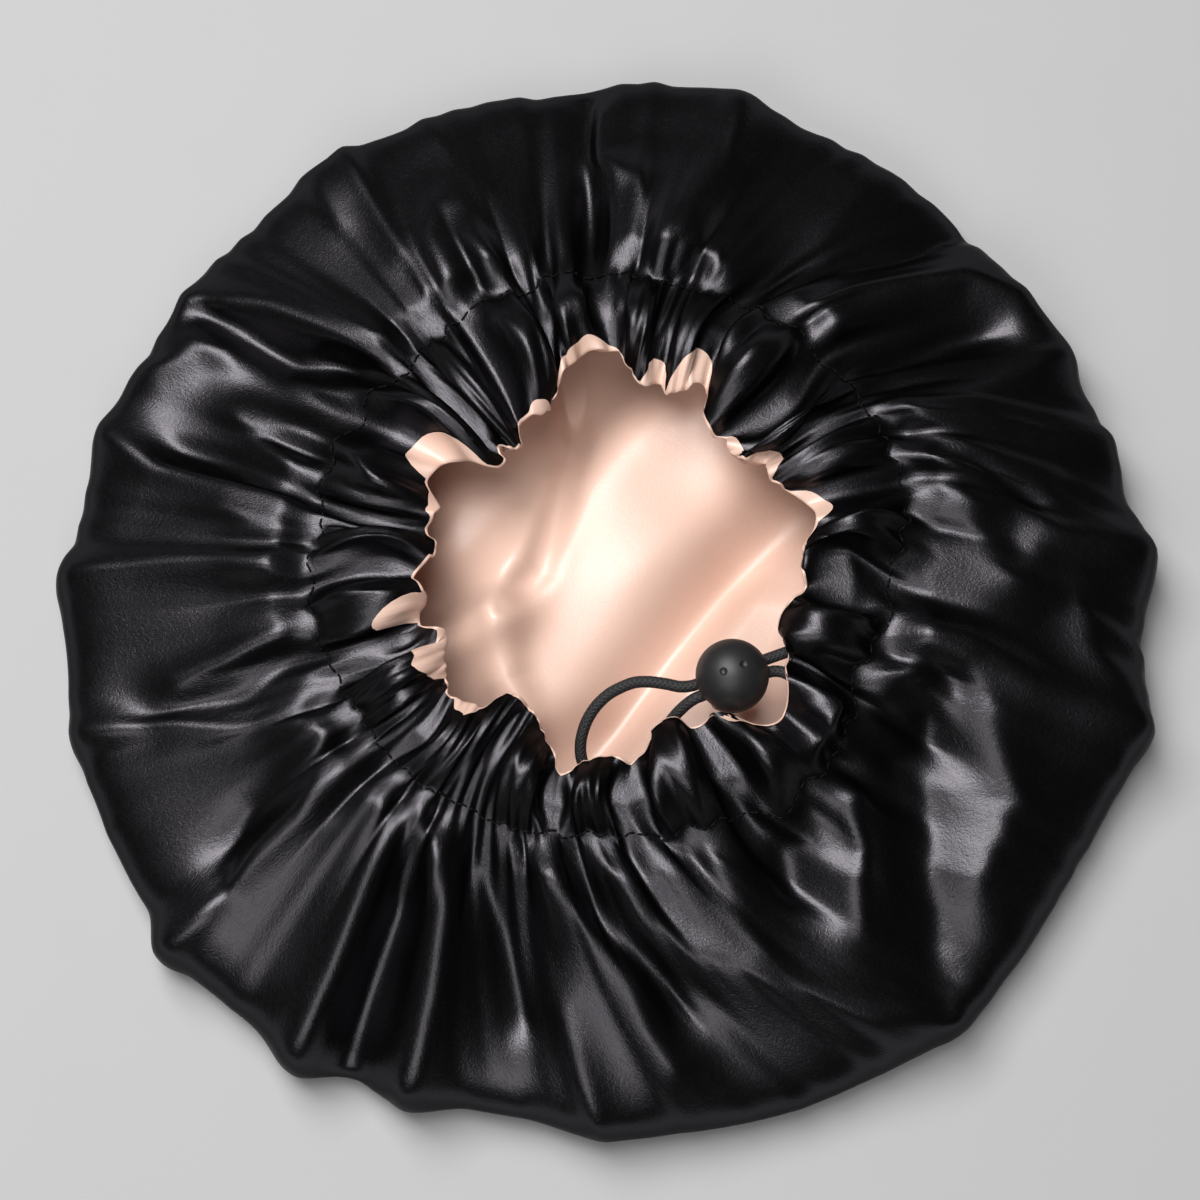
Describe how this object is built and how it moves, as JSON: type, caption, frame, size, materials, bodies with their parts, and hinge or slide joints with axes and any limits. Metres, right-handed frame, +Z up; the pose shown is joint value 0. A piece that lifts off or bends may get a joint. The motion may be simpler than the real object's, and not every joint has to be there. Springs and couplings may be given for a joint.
{
  "type": "hair bonnet",
  "caption": "Round double-layer satin hair bonnet with a contrasting lining, gathered by an elastic drawcord with a ball cord lock and a pull loop.",
  "frame": {"origin": "middle of the object's box on the surface that it lies on, with the crown down", "axes": "+Z up through the mouth, +X to the right and +Y away from the viewer in the picture"},
  "size_m": [0.3216, 0.3205, 0.0565],
  "materials": {
    "satin_outer": "crepe-back satin, soft sheen",
    "satin_lining": "smooth champagne satin",
    "thread": "matt sewing thread",
    "cord": "braided cover over an elastic core",
    "plastic": "matt moulded plastic",
    "spring_wire": "drawn wire"
  },
  "bodies": {
    "bonnet": {"outer_satin": "satin_outer", "lining_satin": "satin_lining", "casing_stitching": "thread", "hem_seam_thread": "thread", "drawcord_upper_run": "cord", "drawcord_lower_run": "cord", "cord_joint_sleeve": "plastic", "pull_loop": "cord"},
    "lock": {"lock_body": "plastic", "lock_spring": "spring_wire"},
    "plunger": {"lock_plunger": "plastic"}
  },
  "joints": [
    {"name": "lock_slide", "type": "slide", "parent": "bonnet", "child": "lock", "axis": [-0.9397, -0.342, 0], "range_m": [-0.0025, 0.0035]},
    {"name": "button_press", "type": "slide", "parent": "lock", "child": "plunger", "axis": [0, 0, 1], "range_m": [0, 0.0035], "stiffness_N_per_m": 600, "deforming": ["lock_spring"]}
  ]
}
